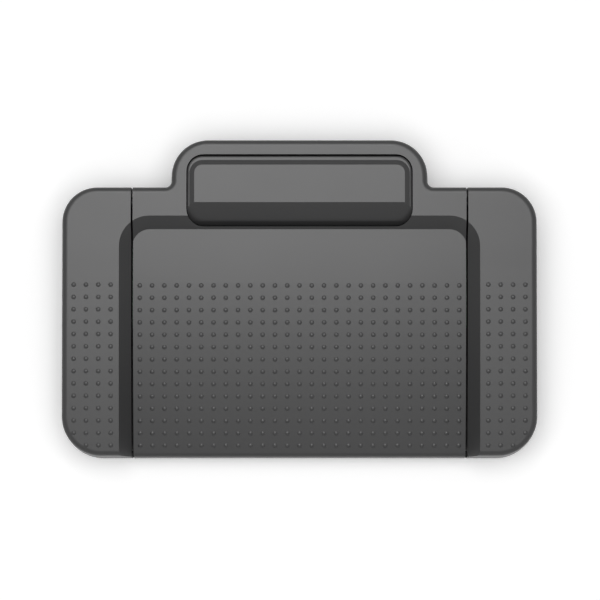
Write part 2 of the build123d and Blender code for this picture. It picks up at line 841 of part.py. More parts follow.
def base_tray():
    """The tray: floor, low wall, rod posts, spring seats, pad seats, gates, board posts, gland seat."""
    solid = walls(tray_inset) & below_plane(tray_top)
    solid -= block(-rim_half_width * 2, rim_half_width * 2, -2 * front_reach, 2 * front_reach,
                   -2 * overrun, floor_height)
    rim = solid.faces().sort_by(Axis.Z)[0].edges()
    solid = chamfer(rim, tray_edge)
    inside = walls(tray_inset + tray_wall)
    inside -= block(-rim_half_width * 2, rim_half_width * 2, -2 * front_reach, 2 * front_reach,
                    -2 * overrun, floor_top)
    features = [cap_post(side * cap_post_place) for side in sides.values()]
    for side in sides.values():
        x = side * side_middle
        solid += seam_shield(side)
        features += [rod_post(side * place) for place in post_places]
        features.append(spring_seat(x, side_spring_y, pedal_spring_seat_height))
        features.append(spring_seat(side * centre_spring_x, centre_spring_y, pedal_spring_seat_height))
        features.append(spring_seat(side * cap_spring_x, cap_spring_y, cap_spring_seat_height))
        features.append(pillar(x, side_pad_y, pad_radius, floor_height, pad_seat_height))
        features.append(pillar(side * centre_pad_x, centre_pad_y, pad_radius, floor_height, pad_seat_height))
        features.append(pillar(side * cap_pad_x, cap_pad_y, pad_radius, floor_height, cap_pad_seat_height))
        features.append(hook_gate(x, side_hook_y, side_hook_bar_z))
        features.append(hook_gate(side * centre_hook_x, centre_hook_y, centre_hook_bar_z))
        features.append(hook_gate(side * cap_hook_x, cap_hook_y, cap_hook_bar_z))
    for x, y in board_screw_places():
        features.append(pillar(x, y, board_post_radius, floor_height, board_height))
    rear, front = gland_seat_y()
    features.append(block(
        -gland_seat_half_width, gland_seat_half_width, front, rear, floor_top, gland_seat_height
    ))
    solid = solid - inside + features
    bore = Pos(0, rear, gland_height) * Rot(90, 0, 0) * Cylinder(
        gland_neck_radius + seat_clearance, 2 * gland_radius + gland_seat_thickness
    )
    solid -= bore
    for place in foot_places.values():
        solid -= foot_block(place, seat_clearance, floor_height + foot_recess)
    solid -= plate(
        label_half_width, -label_half_depth, label_half_depth, foot_round, 0, floor_height + label_recess
    )
    for x, y in board_screw_places():
        depth = board_screw_length - board_thickness + screw_hole_clearance
        solid -= pillar(x, y, screw_radius + seat_clearance, board_height - depth, board_height)
    for x, y in ballast_screw_places():
        solid -= pillar(x, y, screw_radius + seat_clearance, floor_height + foot_recess, floor_top)
    return solid


def board_screw_places():
    """The four screws of the circuit board."""
    outer_y = board_front_y + board_outer_screw_depth
    inner_y = board_front_y + board_inner_screw_depth
    outer = [(side * board_outer_screw_x, outer_y) for side in sides.values()]
    return outer + [(side * board_inner_screw_x, inner_y) for side in sides.values()]


def ballast_screw_places():
    """The four screws of the ballast plate."""
    inset = 2 * screw_head_radius
    rows = (ballast_front_y + inset, ballast_rear_y - inset)
    return [(side * ballast_screw_x, y) for side in sides.values() for y in rows]


def screw(x, y, head_seat, length):
    """A screw that points down, with a round head and a socket."""
    solid = pillar(x, y, screw_radius, head_seat - length, head_seat)
    solid += pillar(x, y, screw_head_radius, head_seat, head_seat + screw_head_height)
    socket_low = head_seat + screw_head_height - screw_socket_depth
    socket = Pos(x, y, socket_low) * extrude(
        RegularPolygon(screw_socket_radius, 6), amount=screw_socket_depth + overrun
    )
    return solid - socket


def ballast_plate():
    """The steel plate on the tray's floor."""
    solid = Pos(0, (ballast_front_y + ballast_rear_y) / 2, floor_top) * extrude(
        RectangleRounded(2 * ballast_half_width, ballast_rear_y - ballast_front_y, ballast_corner_radius),
        amount=ballast_thickness,
    )
    for x, y in ballast_screw_places():
        solid -= pillar(x, y, screw_radius + screw_hole_clearance, floor_top, floor_top + ballast_thickness)
    return solid


def circuit_board():
    """The T-shaped circuit board: a bar under the three pedals and a stem under the rear cap."""
    low = board_height
    bar = Pos(0, (board_front_y + board_rear_y) / 2, low) * extrude(
        RectangleRounded(2 * board_half_width, board_rear_y - board_front_y, board_corner_radius),
        amount=board_thickness,
    )
    stem_front = (board_front_y + board_rear_y) / 2
    stem = plate(
        board_stem_half_width, stem_front, board_stem_rear_y, board_corner_radius, low, board_top
    )
    solid = bar + stem
    for x, y in board_screw_places():
        solid -= pillar(x, y, screw_radius + screw_hole_clearance, low, board_top)
    return solid


def on_board(x, y, width, depth, height):
    """A box-shaped component that sits on the board."""
    low = board_top + seat_clearance
    return block(x - width / 2, x + width / 2, y - depth / 2, y + depth / 2, low, low + height)


def cable_header():
    """The socket on the board's stem where the cable's wires plug in, open at the top."""
    y = board_stem_rear_y - header_inset - header_depth / 2
    housing = on_board(0, y, header_width, header_depth, header_height)
    inner = on_board(0, y, header_width - 2 * header_wall, header_depth - 2 * header_wall, header_height)
    solid = housing - Pos(0, 0, header_wall) * inner
    for pin in range(header_pins):
        x = (pin - (header_pins - 1) / 2) * header_pin_pitch
        solid += on_board(x, y, header_pin_width, header_pin_width, header_height - header_wall)
    return solid


def magnet(x, y):
    """A disc magnet in its post."""
    low = sensor_top + magnet_clearance
    radius = magnet_radius - magnet_glue_gap
    return pillar(x, y, radius, low, low + magnet_height - magnet_glue_gap)


def spring(x, y, seat, top):
    """A compression spring of round wire between its seat and the pedal above it."""
    low = seat + spring_wire_radius
    length = top - spring_wire_radius - low
    path = Pos(x, y, low) * Helix(pitch=spring_pitch, height=length, radius=spring_radius)
    section = Plane(origin=path @ 0, z_dir=path % 0) * Circle(spring_wire_radius)
    return sweep(section, path=path, is_frenet=True)


def hinge_rod(side):
    """A steel rod on one side; a side pedal and one half of the centre pedal turn on it."""
    inner = side * hinge_rod_inner_end
    outer = side * hinge_rod_outer_end
    return along_x(hinge_y, hinge_z, hinge_rod_radius, *sorted((inner, outer)))


def rod_clamp(x):
    """The clamp that holds a hinge rod down on its post."""
    low = x - post_thickness / 2
    high = x + post_thickness / 2
    front = hinge_y - clamp_front_depth
    rear = hinge_y + clamp_rear_depth
    solid = block(low, high, front, rear, hinge_z, hinge_z + clamp_height)
    solid -= along_x(hinge_y, hinge_z, hinge_rod_radius + seat_clearance, low - overrun, high + overrun)
    screw_y = hinge_y - clamp_screw_offset
    hole = screw_radius + screw_hole_clearance
    return solid - pillar(x, screw_y, hole, hinge_z, hinge_z + clamp_height)


def rubber_pad(x, y, seat):
    """A rubber pad with a rounded upper edge on its seat."""
    solid = pillar(x, y, pad_radius, seat, seat + pad_height)
    return fillet(solid.edges().sort_by(Axis.Z)[-1], pad_height / 4)


def rubber_foot(place):
    """A rubber foot, glued into its recess."""
    solid = foot_block(place, 0, floor_height + foot_recess)
    return fillet(solid.faces().sort_by(Axis.Z)[0].edges(), foot_recess)


def cable_gland():
    """A rubber gland with a neck that fits the hole in the tray's rear seat."""
    rear, front = gland_seat_y()
    outline = Polyline(
        (gland_bore_radius, front - gland_inner_length),
        (gland_radius, front - gland_inner_length),
        (gland_radius, front),
        (gland_neck_radius, front),
        (gland_neck_radius, rear),
        (gland_radius, rear),
        (gland_radius, rear + gland_outer_length - gland_edge),
        (gland_radius - gland_edge, rear + gland_outer_length),
        (gland_bore_radius, rear + gland_outer_length),
        close=True,
    )
    return Pos(0, 0, gland_height) * revolve(make_face(outline), axis=Axis.Y)


def build_parts():
    """Every piece by its name."""
    parts = {
        "base_tray": base_tray(),
        "ballast_plate": ballast_plate(),
        "ballast_screws": Compound(children=[
            screw(x, y, floor_top + ballast_thickness, ballast_thickness + screw_head_height)
            for x, y in ballast_screw_places()
        ]),
        "circuit_board": circuit_board(),
        "board_screws": Compound(children=[
            screw(x, y, board_top, board_screw_length) for x, y in board_screw_places()
        ]),
        "controller_chip": on_board(chip_x, sensor_y, chip_width, chip_width, chip_height),
        "clock_crystal": on_board(
            chip_x + chip_width / 2 + crystal_gap + crystal_width / 2, sensor_y,
            crystal_width, crystal_length, crystal_height,
        ),
        "capacitor": pillar(
            capacitor_x, capacitor_y, capacitor_radius, board_top, board_top + capacitor_height
        ),
        "cable_header": cable_header(),
        "cable_gland": cable_gland(),
        "centre_pedal_shell": centre_pedal(),
        "rear_cap_shell": rear_cap(),
        "sensor_centre": on_board(0, sensor_y, sensor_width, sensor_depth, sensor_height),
        "sensor_cap": on_board(0, cap_sensor_y, sensor_width, sensor_depth, sensor_height),
        "magnet_centre": magnet(0, sensor_y),
        "magnet_cap": magnet(0, cap_sensor_y),
        "cap_hinge_rod": along_x(
            cap_hinge_y, cap_hinge_z, cap_rod_radius, -cap_rod_half_length, cap_rod_half_length
        ),
    }
    clamp_screws = []
    for name, side in sides.items():
        x = side * side_middle
        parts[f"{name}_pedal_shell"] = side_pedal(side)
        parts[f"sensor_{name}"] = on_board(x, sensor_y, sensor_width, sensor_depth, sensor_height)
        parts[f"magnet_{name}"] = magnet(x, sensor_y)
        parts[f"hinge_rod_{name}"] = hinge_rod(side)
        for kind, place in zip(("inner", "outer"), post_places):
            parts[f"rod_clamp_{name}_{kind}"] = rod_clamp(side * place)
            screw_y = hinge_y - clamp_screw_offset
            clamp_screws.append(screw(side * place, screw_y, hinge_z + clamp_height, clamp_screw_length))
        seat = pedal_spring_seat_height
        parts[f"spring_{name}"] = spring(x, side_spring_y, seat, spring_top(side_top, side_spring_y))
        parts[f"spring_centre_{name}"] = spring(
            side * centre_spring_x, centre_spring_y, seat, spring_top(face_top, centre_spring_y)
        )
        parts[f"spring_cap_{name}"] = spring(
            side * cap_spring_x, cap_spring_y, cap_spring_seat_height, cap_face_top - cap_wall
        )
        parts[f"pad_{name}"] = rubber_pad(x, side_pad_y, pad_seat_height)
        parts[f"pad_centre_{name}"] = rubber_pad(side * centre_pad_x, centre_pad_y, pad_seat_height)
        parts[f"pad_cap_{name}"] = rubber_pad(side * cap_pad_x, cap_pad_y, cap_pad_seat_height)
    parts["clamp_screws"] = Compound(children=clamp_screws)
    for name, place in foot_places.items():
        parts[f"foot_{name}"] = rubber_foot(place)
    return parts


whole = body_block(0)
hollow = body_block(shell_wall)

os.makedirs("parts", exist_ok=True)
for part_name, shape in build_parts().items():
    export_step(shape, f"parts/{part_name}.step")
    print(part_name, round(shape.volume, 1))
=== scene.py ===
"""The looks of a foot pedal switch: finishes, springs, rubber parts and electronics on its frame.

Lengths are metres in the part's own frame: +X right, +Y rear, +Z up, and the feet stand on z = 0.
The shells, the tray and the hinges keep the frame's meshes and get finishes. Springs, rubber parts
and the parts on the circuit board are surfaces worked out here, and stand in for the plain solids.
"""

import json
from math import cos, pi, radians, sin

import bmesh
import bpy
import numpy as np
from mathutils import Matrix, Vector


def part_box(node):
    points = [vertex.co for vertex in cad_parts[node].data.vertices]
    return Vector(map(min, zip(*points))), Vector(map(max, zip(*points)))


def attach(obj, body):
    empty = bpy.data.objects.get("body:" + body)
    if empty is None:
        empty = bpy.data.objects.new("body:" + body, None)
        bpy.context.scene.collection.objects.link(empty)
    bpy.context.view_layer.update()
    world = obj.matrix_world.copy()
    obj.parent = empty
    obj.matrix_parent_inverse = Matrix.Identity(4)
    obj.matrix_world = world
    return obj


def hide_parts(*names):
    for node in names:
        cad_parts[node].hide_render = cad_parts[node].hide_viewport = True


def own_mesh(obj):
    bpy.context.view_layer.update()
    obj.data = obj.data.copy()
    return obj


bl_info = {
    "name": "Foot pedal switch",
    "version": (1, 0, 0),
    "blender": (4, 5, 0),
    "location": "3D View > Sidebar > Foot switch",
    "description": "Finishes and small parts of a foot pedal switch",
    "category": "Object",
}

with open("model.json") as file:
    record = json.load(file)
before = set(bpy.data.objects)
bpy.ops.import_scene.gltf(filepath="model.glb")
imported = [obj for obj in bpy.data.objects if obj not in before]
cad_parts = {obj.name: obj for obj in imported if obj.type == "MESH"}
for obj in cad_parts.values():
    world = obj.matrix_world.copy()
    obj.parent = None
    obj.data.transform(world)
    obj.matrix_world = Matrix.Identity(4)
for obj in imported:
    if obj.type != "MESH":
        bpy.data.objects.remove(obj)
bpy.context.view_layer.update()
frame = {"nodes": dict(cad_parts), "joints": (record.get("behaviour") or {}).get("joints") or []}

mm = 0.001
side_names = ("left", "right")
pedal_springs = {
    "left_pedal_press": ("spring_left",),
    "centre_pedal_press": ("spring_centre_left", "spring_centre_right"),
    "right_pedal_press": ("spring_right",),
    "rear_cap_press": ("spring_cap_left", "spring_cap_right"),
}


# Finishes


class Wire:
    """A shader socket that takes part in sums: each operator on it adds the Math node it stands for."""

    def __init__(self, finish, socket):
        self.finish = finish
        self.socket = socket

    def __add__(self, other):
        return self.finish.math("ADD", self, other)

    def __sub__(self, other):
        return self.finish.math("SUBTRACT", self, other)

    def __rsub__(self, other):
        return self.finish.math("SUBTRACT", other, self)

    def __mul__(self, other):
        return self.finish.math("MULTIPLY", self, other)

    __radd__ = __add__
    __rmul__ = __mul__


class Nodes:
    """A node tree in the making; node() is the one way in which its nodes are added."""

    def __init__(self, tree):
        self.tree = tree
        tree.nodes.clear()

    def node(self, kind, settings=None, inputs=None, output=0):
        """Adds a node, applies its settings, then its values and links, and gives one output."""
        made = self.tree.nodes.new(kind)
        for name, value in (settings or {}).items():
            if name == "stops":
                self.set_stops(made.color_ramp, value)
            else:
                setattr(made, name, value)
        for name, value in (inputs or {}).items():
            if isinstance(value, Wire):
                self.tree.links.new(value.socket, made.inputs[name])
            else:
                made.inputs[name].default_value = value
        return Wire(self, made.outputs[output]) if made.outputs else made

    @staticmethod
    def set_stops(ramp, stops):
        """Puts (place, grey or colour) stops on a colour ramp."""
        while len(ramp.elements) < len(stops):
            ramp.elements.new(1)
        for element, (place, colour) in zip(ramp.elements, stops):
            element.position = place
            element.color = (*colour, 1) if isinstance(colour, tuple) else (colour, colour, colour, 1)

    def math(self, operation, *values):
        """One Math node."""
        return self.node("ShaderNodeMath", {"operation": operation}, dict(enumerate(values)))

    def plain_view(self):
        """1 for what the camera, mirrors and glass see, and 0 for light that falls on the object."""
        rays = [f"Is {kind} Ray" for kind in ("Camera", "Glossy", "Transmission")]
        seen, mirrored, through = (self.node("ShaderNodeLightPath", output=ray) for ray in rays)
        return self.math("MAXIMUM", self.math("MAXIMUM", seen, mirrored), through)


class Finish(Nodes):
    """A material in the making, with patterns that are laid out in the part's own frame."""

    def __init__(self, name):
        self.material = bpy.data.materials.new(name)
        self.material.use_nodes = True
        super().__init__(self.material.node_tree)
        self.place = self.node("ShaderNodeTexCoord", output="Object")

    def noise(self, size, detail=2.0, stretch=(1, 1, 1)):
        """Noise whose patches are about size wide, drawn out by stretch along X, Y and Z."""
        scale = tuple(mm / size / s for s in stretch)
        spread = self.node("ShaderNodeMapping", {}, {"Vector": self.place, "Scale": scale})
        values = {"Vector": spread, "Scale": 1 / mm, "Detail": detail}
        return self.node("ShaderNodeTexNoise", {}, values)

    def ramp(self, value, *stops):
        """A colour ramp."""
        return self.node("ShaderNodeValToRGB", {"stops": stops}, {0: value})

    def tint(self, factor, low, high):
        """A colour between low and high."""
        settings = {"data_type": "RGBA", "clamp_factor": True}
        return self.node("ShaderNodeMix", settings, {0: factor, 6: (*low, 1), 7: (*high, 1)}, output=2)

    def bump(self, height, depth):
        """A normal that follows height, where 1 stands for depth."""
        return self.node("ShaderNodeBump", {}, {"Height": height, "Distance": depth})

    def close(self, colour, **values):
        """Ends the material in a Principled shader; underscores in the names stand for spaces."""
        inputs = {name.replace("_", " "): value for name, value in values.items()}
        inputs["Base Color"] = colour if isinstance(colour, Wire) else (*colour, 1)
        shader = self.node("ShaderNodeBsdfPrincipled", {}, inputs)
        self.node("ShaderNodeOutputMaterial", {}, {"Surface": shader})
        return self.material


def shade(colour, share):
    """A colour made lighter or darker by a share."""
    return tuple(channel * share for channel in colour)


def satin_plastic(look):
    """Fine-grained satin plastic of the pedals, a little polished in broad soft patches."""
    wear_size = 30 * mm
    wear_swing = 0.03
    grain_swing = 0.06
    finish = Finish("satin_shell_plastic")
    grain = finish.noise(look.grain_size, detail=3)
    wear = finish.noise(wear_size, detail=2)
    colour = finish.tint(wear, shade(look.colour, 1 - wear_swing), shade(look.colour, 1 + wear_swing))
    roughness = look.roughness + (wear - 0.5) * wear_swing + (grain - 0.5) * grain_swing
    normal = finish.bump(grain, look.grain_depth)
    return finish.close(colour, Roughness=roughness, Normal=normal, IOR=look.ior)


def moulded_plastic(name, colour, roughness=0.55, grain=0.35 * mm, depth=0.02 * mm):
    """Plain moulded plastic with a spark-eroded grain."""
    flow_size = 18 * mm
    flow_swing = 0.06
    pit_swing = 0.12
    finish = Finish(name)
    pits = finish.noise(grain, detail=4)
    flow = finish.noise(flow_size, detail=1, stretch=(3, 1, 1))
    tone = finish.tint(flow, shade(colour, 1 - flow_swing), shade(colour, 1 + flow_swing))
    rough = roughness + (pits - 0.5) * pit_swing
    return finish.close(tone, Roughness=rough, Normal=finish.bump(pits, depth))


def rubber(name, colour):
    """Matt rubber with a powdery bloom."""
    bloom_size = 3 * mm
    bloom_lightness = 1.7
    pore_size = 0.25 * mm
    pore_depth = 0.015 * mm
    clean_roughness = 0.72
    bloom_roughness = 0.12
    finish = Finish(name)
    bloom = finish.noise(bloom_size, detail=4)
    pores = finish.noise(pore_size, detail=2)
    patches = finish.ramp(bloom, (0.42, 0.0), (0.75, 1.0))
    tone = finish.tint(patches, colour, shade(colour, bloom_lightness))
    rough = clean_roughness + bloom * bloom_roughness
    return finish.close(tone, Roughness=rough, Normal=finish.bump(pores, pore_depth))


def steel(name, colour, roughness, stretch, size=0.3 * mm):
    """Bare or plated steel with fine marks drawn out along one axis."""
    stain_size = 9 * mm
    mark_swing = 0.16
    mark_depth = 0.008 * mm
    darkest = 0.9
    lightest = 1.05
    finish = Finish(name)
    marks = finish.noise(size, detail=3, stretch=stretch)
    stains = finish.noise(stain_size, detail=3)
    tone = finish.tint(stains, shade(colour, darkest), shade(colour, lightest))
    rough = roughness + (marks - 0.5) * mark_swing
    return finish.close(tone, Metallic=1.0, Roughness=rough, Normal=finish.bump(marks, mark_depth))


def solder_mask(colour, copper):
    """Green lacquer over copper tracks, which show as raised lighter lines that run along X and Y."""
    half_lane = 0.6 * mm
    half_rung = 2.1 * mm
    lane_track = 0.16 * mm
    rung_track = 0.15 * mm
    wander_size = 9 * mm
    lane_step = 0.18
    lane_shift = 6 * mm
    rung_step = 0.25
    rung_shift = 9 * mm
    lacquer_roughness = 0.28
    copper_height = 0.03 * mm
    finish = Finish("board_solder_mask")
    wander = finish.noise(wander_size, detail=0)
    split = {"Vector": finish.place}
    x, y = (finish.node("ShaderNodeSeparateXYZ", {}, split, output=axis) for axis in ("X", "Y"))
    lane = finish.math("PINGPONG", y + finish.math("SNAP", wander, lane_step) * lane_shift, half_lane)
    rung = finish.math("PINGPONG", x + finish.math("SNAP", wander, rung_step) * rung_shift, half_rung)
    along = finish.math("LESS_THAN", lane, lane_track)
    across = finish.math("LESS_THAN", rung, rung_track)
    tracks = finish.math("MAXIMUM", along, across)
    tone = finish.tint(tracks, colour, copper)
    normal = finish.bump(tracks, copper_height)
    return finish.close(tone, Roughness=lacquer_roughness, Normal=normal)


def stand_in(name, surfaces, material, slot, *nodes):
    """A piece on the base that takes the place of nodes of the frame."""
    piece = build_mesh(name, surfaces, material)
    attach(piece, "base")
    if nodes:
        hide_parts(*nodes)
    return piece


def dress(material, *nodes):
    """Gives nodes of the frame a finish in every one of their material slots."""
    for node in nodes:
        mesh = frame["nodes"][node].data
        if not mesh.materials:
            mesh.materials.append(material)
        for place in range(len(mesh.materials)):
            mesh.materials[place] = material


# Surfaces


def grid_faces(rows, columns, wrap_columns=False):
    """Quads between a grid's points, as an array of corner numbers; wrapped columns close."""
    numbers = np.arange(rows * columns).reshape(rows, columns)
    if wrap_columns:
        numbers = np.hstack((numbers, numbers[:, :1]))
    corners = (numbers[:-1, :-1], numbers[:-1, 1:], numbers[1:, 1:], numbers[1:, :-1])
    return np.stack(corners, axis=-1).reshape(-1, 4)


def build_mesh(name, surfaces, material, smooth_deg=35):
    """One closed mesh from (points, faces) pairs, with doubles merged and faces turned outwards."""
    points = []
    faces = []
    start = 0
    for surface_points, surface_faces in surfaces:
        flat = np.asarray(surface_points, float).reshape(-1, 3)
        points.append(flat)
        faces += (np.asarray(surface_faces) + start).tolist()
        start += len(flat)
    mesh = bpy.data.meshes.new(name)
    mesh.from_pydata(np.concatenate(points).tolist(), [], faces)
    tidy(mesh)
    mesh.shade_smooth()
    mesh.set_sharp_from_angle(angle=radians(smooth_deg))
    mesh.materials.append(material)
    piece = bpy.data.objects.new(name, mesh)
    bpy.context.scene.collection.objects.link(piece)
    return piece


def tidy(mesh):
    """Merges doubled points, drops faces without area and turns the rest outwards."""
    merge_distance = 0.002 * mm
    shortest_edge = 0.001 * mm
    work = bmesh.new()
    work.from_mesh(mesh)
    bmesh.ops.remove_doubles(work, verts=work.verts, dist=merge_distance)
    bmesh.ops.dissolve_degenerate(work, edges=work.edges, dist=shortest_edge)
    bmesh.ops.recalc_face_normals(work, faces=work.faces)
    work.to_mesh(mesh)
    work.free()


def turned(profile, steps, centre, axis="z"):
    """A profile of (radius, height) points turned round an axis; ends at radius 0 close the surface.

    Point = centre + (r cos t, r sin t, h), with the last two letters swapped for an axis along Y.
    """
    radius, height = np.asarray(profile, float).T
    angle = np.linspace(0, 2 * pi, steps, endpoint=False)
    x = radius[:, None] * np.cos(angle)
    y = radius[:, None] * np.sin(angle)
    z = np.broadcast_to(height[:, None], x.shape)
    points = np.stack((x, y, z) if axis == "z" else (x, z, y), axis=-1)
    return points + np.asarray(centre), grid_faces(len(radius), steps, wrap_columns=True)


def rounded_outline(half_x, half_y, corner, steps):
    """Points round a rectangle with quarter-circle corners: corner centre + corner (cos t, sin t)."""
    angle = np.linspace(0, pi / 2, steps)
    points = []
    for turn in range(4):
        t = angle + turn * pi / 2
        sign_x = 1 if turn in (0, 3) else -1
        sign_y = 1 if turn in (0, 1) else -1
        x = sign_x * (half_x - corner) + corner * np.cos(t)
        y = sign_y * (half_y - corner) + corner * np.sin(t)
        points.append(np.stack((x, y), axis=-1))
    return np.concatenate(points)


def stacked(half_x, half_y, corner, layers, centre, steps=8):
    """A rounded rectangle carried up through layers of (inset, height), closed at both ends.

    Each layer is the outline with its half sizes and its corner radius reduced by the inset, and both
    ends shrink to the middle line of the outline.
    """
    least_corner = 0.001 * mm
    rings = []
    for inset, height in layers:
        rounding = max(corner - inset, least_corner)
        outline = rounded_outline(half_x - inset, half_y - inset, rounding, steps)
        rings.append(np.column_stack((outline, np.full(len(outline), height))))
    for ring, at in ((rings[0], 0), (rings[-1], len(rings) + 1)):
        middle = ring.copy()
        middle[:, 1] = 0
        middle[:, 0] = np.clip(ring[:, 0], half_y - half_x, half_x - half_y) if half_x > half_y else 0
        rings.insert(at, middle)
    points = np.stack(rings) + np.asarray(centre)
    return points, grid_faces(len(rings), rings[0].shape[0], wrap_columns=True)


def tube_along(path, tangent, radius, steps):
    """A round wire along a path: path + radius (cos a side + sin a up), closed flat at both ends."""
    up = np.array([0.0, 0.0, 1.0])
    side = np.cross(tangent, up)
    side /= np.linalg.norm(side, axis=1, keepdims=True)
    lift = np.cross(side, tangent)
    angle = np.linspace(0, 2 * pi, steps, endpoint=False)
    ring = np.cos(angle)[None, :, None] * side[:, None] + np.sin(angle)[None, :, None] * lift[:, None]
    body = path[:, None] + radius * ring
    start = np.broadcast_to(path[:1, None], (1, steps, 3))
    end = np.broadcast_to(path[-1:, None], (1, steps, 3))
    points = np.concatenate((start, body, end))
    return points, grid_faces(len(points), steps, wrap_columns=True)


# Sizes and colours that a user would change


class ShellLook(bpy.types.PropertyGroup):
    """Plastic of the pedals and the rear cap."""

    colour: bpy.props.FloatVectorProperty(
        name="Colour", description="Colour of the pedals and the cap", subtype="COLOR",
        size=3, min=0, max=1, default=(0.032, 0.032, 0.0325),
    )
    roughness: bpy.props.FloatProperty(
        name="Roughness", description="Mean roughness of the satin surface", subtype="FACTOR",
        min=0, max=1, default=0.42,
    )
    ior: bpy.props.FloatProperty(
        name="Refraction", description="Index of refraction of the plastic", min=1, max=2, default=1.47,
    )
    grain_size: bpy.props.FloatProperty(
        name="Grain size", description="Width of the surface's grains", unit="LENGTH",
        min=0, default=0.22 * mm,
    )
    grain_depth: bpy.props.FloatProperty(
        name="Grain depth", description="Depth of the surface's grains", unit="LENGTH",
        min=0, default=0.004 * mm,
    )


class TrayLook(bpy.types.PropertyGroup):
    """Plastic of the tray and of the clamps."""

    tray_colour: bpy.props.FloatVectorProperty(
        name="Tray", description="Colour of the tray", subtype="COLOR",
        size=3, min=0, max=1, default=(0.018, 0.018, 0.0185),
    )
    clamp_colour: bpy.props.FloatVectorProperty(
        name="Clamps", description="Colour of the clamps on the hinge rods", subtype="COLOR",
        size=3, min=0, max=1, default=(0.42, 0.42, 0.41),
    )


class SpringSizes(bpy.types.PropertyGroup):
    """The coil springs."""

    wire_radius: bpy.props.FloatProperty(
        name="Wire radius", description="Radius of the spring wire", unit="LENGTH",
        min=0, default=0.45 * mm,
    )
    coil_radius: bpy.props.FloatProperty(
        name="Coil radius", description="Radius at the middle of the wire", unit="LENGTH",
        min=0, default=4.0 * mm,
    )
    pitch: bpy.props.FloatProperty(
        name="Pitch", description="Rise of one open turn", unit="LENGTH", min=0, default=2.2 * mm,
    )


class RubberSizes(bpy.types.PropertyGroup):
    """Feet, pads and the cable gland."""

    colour: bpy.props.FloatVectorProperty(
        name="Colour", description="Colour of the rubber", subtype="COLOR",
        size=3, min=0, max=1, default=(0.024, 0.024, 0.024),
    )
    foot_edge: bpy.props.FloatProperty(
        name="Foot edge", description="Rounding of a foot's lower edge", unit="LENGTH",
        min=0, default=0.5 * mm,
    )
    foot_corner: bpy.props.FloatProperty(
        name="Foot corner", description="Corner radius of a foot", unit="LENGTH",
        min=0, default=4.0 * mm,
    )
    pad_edge: bpy.props.FloatProperty(
        name="Pad edge", description="Rounding of a pad's upper edge", unit="LENGTH",
        min=0, default=0.65 * mm,
    )


class BoardLook(bpy.types.PropertyGroup):
    """The circuit board and what it carries."""

    board_colour: bpy.props.FloatVectorProperty(
        name="Board", description="Colour of the solder mask", subtype="COLOR",
        size=3, min=0, max=1, default=(0.008, 0.085, 0.03),
    )
    track_colour: bpy.props.FloatVectorProperty(
        name="Tracks", description="Colour of the mask over copper", subtype="COLOR",
        size=3, min=0, max=1, default=(0.02, 0.17, 0.06),
    )
    leg_pitch: bpy.props.FloatProperty(
        name="Leg pitch", description="Distance between the chip's legs", unit="LENGTH",
        min=0, default=0.8 * mm,
    )


class StageLook(bpy.types.PropertyGroup):
    """Camera, lamps and floor."""

    tilt: bpy.props.FloatProperty(
        name="Tilt", description="Lean of the camera from straight overhead towards the front",
        subtype="ANGLE", default=radians(3.4),
    )
    distance: bpy.props.FloatProperty(
        name="Distance", description="From the camera to its target", unit="LENGTH", default=1.5,
    )
    target_height: bpy.props.FloatProperty(
        name="Target height", description="Height of the point that the camera looks at",
        unit="LENGTH", default=15 * mm,
    )
    lens: bpy.props.FloatProperty(name="Lens", description="Focal length in millimetres", default=201.7)
    shift: bpy.props.FloatProperty(
        name="Shift", description="Sideways shift of the camera's frame", default=0.0008, precision=4,
    )
    rear_energy: bpy.props.FloatProperty(
        name="Rear softbox", description="Energy of the gloss from the rear, in watts", default=6.4,
    )
    rear_lean: bpy.props.FloatProperty(
        name="Rear lean", description="Lean of the rear softbox from overhead towards the rear",
        subtype="ANGLE", default=radians(20),
    )
    overhead_energy: bpy.props.FloatProperty(
        name="Overhead softbox", description="Energy of the gloss from overhead, in watts", default=2.9,
    )
    overhead_lean: bpy.props.FloatProperty(
        name="Overhead lean", description="Lean of the overhead softbox towards the rear",
        subtype="ANGLE", default=radians(5),
    )
    softbox_size: bpy.props.FloatProperty(
        name="Softbox size", description="Side of the two softboxes", unit="LENGTH",
        min=0, default=0.52,
    )
    lamp_distance: bpy.props.FloatProperty(
        name="Lamp distance", description="From each lamp to the middle of the stage",
        unit="LENGTH", min=0, default=1.15,
    )
    canopy_size: bpy.props.FloatProperty(
        name="Canopy size", description="Side of the soft overhead light", unit="LENGTH",
        min=0, default=0.8,
    )
    canopy_energy: bpy.props.FloatProperty(
        name="Canopy", description="Energy of the soft overhead light, which shows in no gloss",
        default=9.0,
    )
    sky: bpy.props.FloatProperty(
        name="Sky", description="Brightness of the light from all round", default=0.4,
    )
    floor_colour: bpy.props.FloatVectorProperty(
        name="Floor", description="Colour of the floor", subtype="COLOR", size=3, min=0, max=1,
        default=(0.98, 0.98, 0.98),
    )
    floor_lift: bpy.props.FloatProperty(
        name="Floor lift", description="Light that the floor adds for the camera alone", default=0.17,
    )


# Pieces


class FOOTSWITCH_OT_shells(bpy.types.Operator):
    """Finish the three pedals and the rear cap in satin plastic"""

    bl_idname = "footswitch.shells"
    bl_label = "Pedals and cap"

    def execute(self, context):
        plastic = satin_plastic(context.scene.footswitch_shell)
        dress(plastic, "left_pedal_shell", "centre_pedal_shell", "right_pedal_shell", "rear_cap_shell")
        return {"FINISHED"}


class FOOTSWITCH_OT_tray(bpy.types.Operator):
    """Finish the tray, and the clamps that hold the hinge rods down on it"""

    bl_idname = "footswitch.tray"
    bl_label = "Tray and clamps"

    def execute(self, context):
        look = context.scene.footswitch_tray
        dress(moulded_plastic("tray_plastic", look.tray_colour), "base_tray")
        clamps = [f"rod_clamp_{side}_{kind}" for side in side_names for kind in ("inner", "outer")]
        dress(moulded_plastic("clamp_plastic", look.clamp_colour, roughness=0.48), *clamps)
        return {"FINISHED"}


